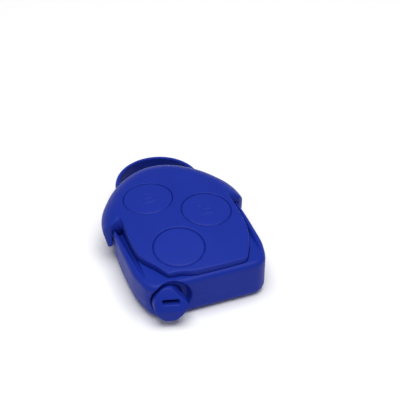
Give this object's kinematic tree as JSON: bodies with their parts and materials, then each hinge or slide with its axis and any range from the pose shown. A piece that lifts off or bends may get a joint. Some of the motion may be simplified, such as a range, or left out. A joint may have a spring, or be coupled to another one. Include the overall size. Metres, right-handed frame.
{
  "type": "key fob shell",
  "caption": "Remote key fob with a crowned front cover, round press buttons, side rails, a key-ring loop and a socket for a key blade.",
  "frame": {"origin": "centre of the overall box on the back face", "axes": "+Z out of the button face, +Y along the fob toward the key-ring loop, +X to the right"},
  "size_m": [0.0402, 0.06, 0.0154],
  "materials": {
    "shell_plastic": "satin moulded, fine texture",
    "button_plastic": "soft satin",
    "seal_rubber": "matt silicone",
    "board_laminate": "solder-masked laminate",
    "chip_resin": "matt moulded resin",
    "switch_plastic": "moulded",
    "plunger_plastic": "moulded",
    "dome_steel": "bright sheet",
    "cell_steel": "nickel-plated",
    "can_steel": "plated can",
    "contact_bronze": "spring bronze",
    "capacitor_ceramic": "fired"
  },
  "bodies": {
    "fob_body": {"body_frame": "shell_plastic", "rear_cover": "shell_plastic", "blade_socket": "shell_plastic", "circuit_board": "board_laminate", "coin_cell": "cell_steel", "cell_clip_positive": "contact_bronze", "cell_contact_negative": "contact_bronze", "control_chip": "chip_resin", "transmitter_chip": "chip_resin", "resonator": "can_steel", "supply_capacitor": "capacitor_ceramic", "tuning_capacitor": "capacitor_ceramic", "antenna_strip": "contact_bronze", "transponder_chip": "chip_resin", "lock_switch_base": "switch_plastic", "lock_switch_dome": "dome_steel", "unlock_switch_base": "switch_plastic", "unlock_switch_dome": "dome_steel", "boot_switch_base": "switch_plastic", "boot_switch_dome": "dome_steel"},
    "cover": {"front_cover": "shell_plastic", "keypad_seal": "seal_rubber"},
    "lock_key": {"lock_button": "button_plastic"},
    "lock_plunger": {"lock_switch_plunger": "plunger_plastic"},
    "unlock_key": {"unlock_button": "button_plastic"},
    "unlock_plunger": {"unlock_switch_plunger": "plunger_plastic"},
    "boot_key": {"boot_button": "button_plastic"},
    "boot_plunger": {"boot_switch_plunger": "plunger_plastic"}
  },
  "joints": [
    {"name": "cover_lift", "type": "slide", "parent": "fob_body", "child": "cover", "axis": [0, 0, 1], "range_m": [0, 0.014]},
    {"name": "lock_press", "type": "slide", "parent": "cover", "child": "lock_key", "axis": [0, 0, -1], "range_m": [0, 0.0005], "stiffness_N_per_m": 800, "springref_m": -0.0004},
    {"name": "lock_switch_travel", "type": "slide", "parent": "fob_body", "child": "lock_plunger", "axis": [0, 0, -1], "range_m": [0, 0.0004], "deforming": ["lock_switch_dome"]},
    {"name": "unlock_press", "type": "slide", "parent": "cover", "child": "unlock_key", "axis": [0, 0, -1], "range_m": [0, 0.0005], "stiffness_N_per_m": 800, "springref_m": -0.0004},
    {"name": "unlock_switch_travel", "type": "slide", "parent": "fob_body", "child": "unlock_plunger", "axis": [0, 0, -1], "range_m": [0, 0.0004], "deforming": ["unlock_switch_dome"]},
    {"name": "boot_press", "type": "slide", "parent": "cover", "child": "boot_key", "axis": [0, 0, -1], "range_m": [0, 0.0005], "stiffness_N_per_m": 800, "springref_m": -0.0004},
    {"name": "boot_switch_travel", "type": "slide", "parent": "fob_body", "child": "boot_plunger", "axis": [0, 0, -1], "range_m": [0, 0.0004], "deforming": ["boot_switch_dome"]}
  ],
  "couplings": [
    {"joint": "lock_switch_travel", "follows": "lock_press", "ratio": 0.8},
    {"joint": "unlock_switch_travel", "follows": "unlock_press", "ratio": 0.8},
    {"joint": "boot_switch_travel", "follows": "boot_press", "ratio": 0.8}
  ]
}
